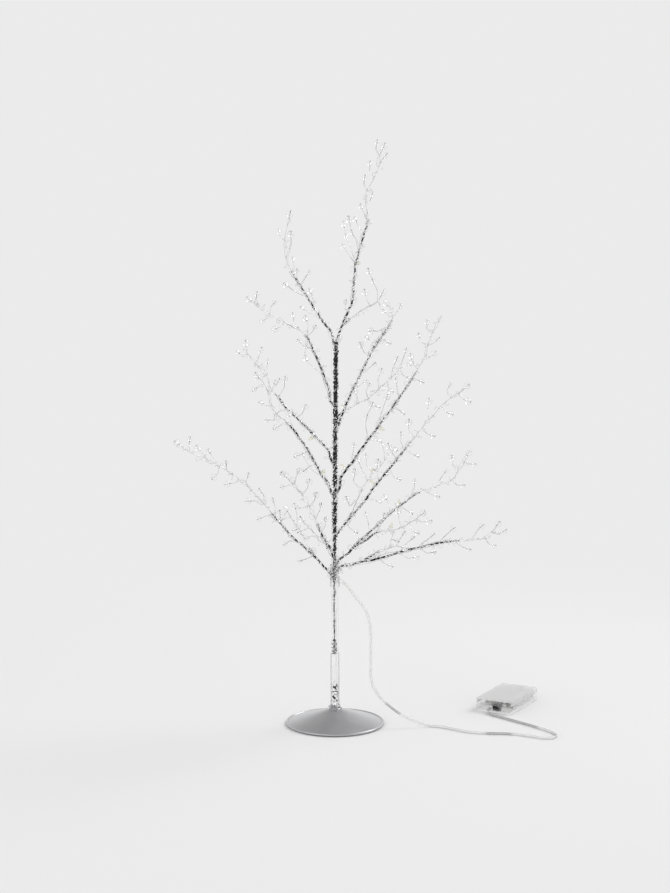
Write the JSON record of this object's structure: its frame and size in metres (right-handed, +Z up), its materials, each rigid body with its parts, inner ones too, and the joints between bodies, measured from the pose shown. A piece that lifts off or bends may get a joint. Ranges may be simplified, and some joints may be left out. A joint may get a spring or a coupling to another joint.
{
  "type": "lighted twig tree",
  "caption": "Table-top wire twig tree with clear beads and small lamps, on a round domed foot, with a battery box on a clear lead",
  "frame": {"origin": "centre of the foot pad's flat underside, on the trunk's axis, at floor level", "axes": "+Z up the trunk, +Y away from the viewer of the picture, +X to the viewer's right, towards the battery box"},
  "size_m": [0.3859, 0.2369, 0.6012],
  "materials": {
    "satin_silver": "satin silver spray on spun steel",
    "foil": "bright metallised foil, crinkled and twisted",
    "steel": "plain zinc plated steel",
    "iron": "bare stamped iron",
    "foam_pad": "fine grained dark foam rubber",
    "post_plastic": "whitish moulded plastic",
    "clear_plastic": "clear moulded plastic",
    "bead_acrylic": "clear polished acrylic",
    "lamp_lens": "warm clear lens",
    "lead_pvc": "clear flexible jacket over copper",
    "cell_jacket": "plain pale satin jacket",
    "nickel": "nickel plate",
    "wire_jacket": "thin insulated wire",
    "black_plastic": "black moulded plastic"
  },
  "bodies": {
    "stand": {"foot_dome": "satin_silver", "foot_weight": "iron", "foot_pad": "foam_pad", "foot_collar": "satin_silver", "foot_washer": "steel", "foot_nut": "steel", "trunk_rod": "steel", "trunk_post": "post_plastic", "foil_cuff": "foil", "clear_sleeve": "clear_plastic", "trunk_wrap": "foil", "lead_clip": "clear_plastic", "lead": "lead_pvc", "battery_tray": "clear_plastic", "battery_cells": "cell_jacket", "battery_springs": "nickel", "battery_contacts": "nickel", "box_wires": "wire_jacket", "switch_body": "black_plastic"},
    "left_leader": {"left_leader_wires": "foil", "left_leader_beads": "bead_acrylic"},
    "right_leader": {"right_leader_wires": "foil", "right_leader_beads": "bead_acrylic", "right_leader_lamps": "lamp_lens"},
    "left_branch_5": {"left_branch_5_wires": "foil", "left_branch_5_beads": "bead_acrylic"},
    "left_branch_4": {"left_branch_4_wires": "foil", "left_branch_4_beads": "bead_acrylic", "left_branch_4_lamps": "lamp_lens"},
    "left_branch_3": {"left_branch_3_wires": "foil", "left_branch_3_beads": "bead_acrylic", "left_branch_3_lamps": "lamp_lens"},
    "left_branch_2": {"left_branch_2_wires": "foil", "left_branch_2_beads": "bead_acrylic"},
    "left_branch_1": {"left_branch_1_wires": "foil", "left_branch_1_beads": "bead_acrylic"},
    "right_branch_6": {"right_branch_6_wires": "foil", "right_branch_6_beads": "bead_acrylic"},
    "right_branch_5": {"right_branch_5_wires": "foil", "right_branch_5_beads": "bead_acrylic", "right_branch_5_lamps": "lamp_lens"},
    "right_branch_4": {"right_branch_4_wires": "foil", "right_branch_4_beads": "bead_acrylic", "right_branch_4_lamps": "lamp_lens"},
    "right_branch_3": {"right_branch_3_wires": "foil", "right_branch_3_beads": "bead_acrylic", "right_branch_3_lamps": "lamp_lens"},
    "right_branch_2": {"right_branch_2_wires": "foil", "right_branch_2_beads": "bead_acrylic", "right_branch_2_lamps": "lamp_lens"},
    "right_branch_1": {"right_branch_1_wires": "foil", "right_branch_1_beads": "bead_acrylic"},
    "battery_lid": {"battery_lid": "clear_plastic"},
    "switch_knob": {"switch_knob": "black_plastic"}
  },
  "joints": [
    {"name": "left_leader_bend", "type": "hinge", "parent": "stand", "child": "left_leader", "pos_m": [-0.00177, 0.00094, 0.39991], "axis": [0.4695, 0.8829, 0], "range_deg": [-12, 10]},
    {"name": "right_leader_bend", "type": "hinge", "parent": "stand", "child": "right_leader", "pos_m": [0.00194, -0.00048, 0.39991], "axis": [-0.2419, -0.9703, 0], "range_deg": [-12, 10]},
    {"name": "left_branch_5_bend", "type": "hinge", "parent": "stand", "child": "left_branch_5", "pos_m": [-0.00473, -0.00369, 0.33876], "axis": [-0.6157, 0.788, 0], "range_deg": [-12, 10]},
    {"name": "left_branch_4_bend", "type": "hinge", "parent": "stand", "child": "left_branch_4", "pos_m": [-0.00424, 0.00424, 0.27813], "axis": [0.7071, 0.7071, 0], "range_deg": [-12, 10]},
    {"name": "left_branch_3_bend", "type": "hinge", "parent": "stand", "child": "left_branch_3", "pos_m": [-0.00432, -0.00417, 0.24504], "axis": [-0.6947, 0.7193, 0], "range_deg": [-12, 10]},
    {"name": "left_branch_2_bend", "type": "hinge", "parent": "stand", "child": "left_branch_2", "pos_m": [-0.00282, -0.0053, 0.1805], "axis": [-0.8829, 0.4695, 0], "range_deg": [-8, 10]},
    {"name": "left_branch_1_bend", "type": "hinge", "parent": "stand", "child": "left_branch_1", "pos_m": [-0.00556, -0.00225, 0.16061], "axis": [-0.3746, 0.9272, 0], "range_deg": [-12, 4]},
    {"name": "right_branch_6_bend", "type": "hinge", "parent": "stand", "child": "right_branch_6", "pos_m": [0.00353, -0.00485, 0.31313], "axis": [-0.809, -0.5878, 0], "range_deg": [-12, 10]},
    {"name": "right_branch_5_bend", "type": "hinge", "parent": "stand", "child": "right_branch_5", "pos_m": [0.00386, 0.0046, 0.32237], "axis": [0.766, -0.6428, 0], "range_deg": [-12, 10]},
    {"name": "right_branch_4_bend", "type": "hinge", "parent": "stand", "child": "right_branch_4", "pos_m": [0.00497, 0.00335, 0.24815], "axis": [0.5592, -0.829, 0], "range_deg": [-10, 6]},
    {"name": "right_branch_3_bend", "type": "hinge", "parent": "stand", "child": "right_branch_3", "pos_m": [0.00485, -0.00353, 0.20451], "axis": [-0.5878, -0.809, 0], "range_deg": [-12, 10]},
    {"name": "right_branch_2_bend", "type": "hinge", "parent": "stand", "child": "right_branch_2", "pos_m": [0.00446, 0.00402, 0.17318], "axis": [0.6691, -0.7431, 0], "range_deg": [-8, 10]},
    {"name": "right_branch_1_bend", "type": "hinge", "parent": "stand", "child": "right_branch_1", "pos_m": [0.00577, 0.00165, 0.16585], "axis": [0.2756, -0.9613, 0], "range_deg": [-12, 3]},
    {"name": "battery_lid_slide", "type": "slide", "parent": "stand", "child": "battery_lid", "axis": [0.4695, 0.8829, 0], "range_m": [0, 0.066]},
    {"name": "switch_slide", "type": "slide", "parent": "stand", "child": "switch_knob", "axis": [-0.8829, 0.4695, 0], "range_m": [0, 0.0024]}
  ]
}
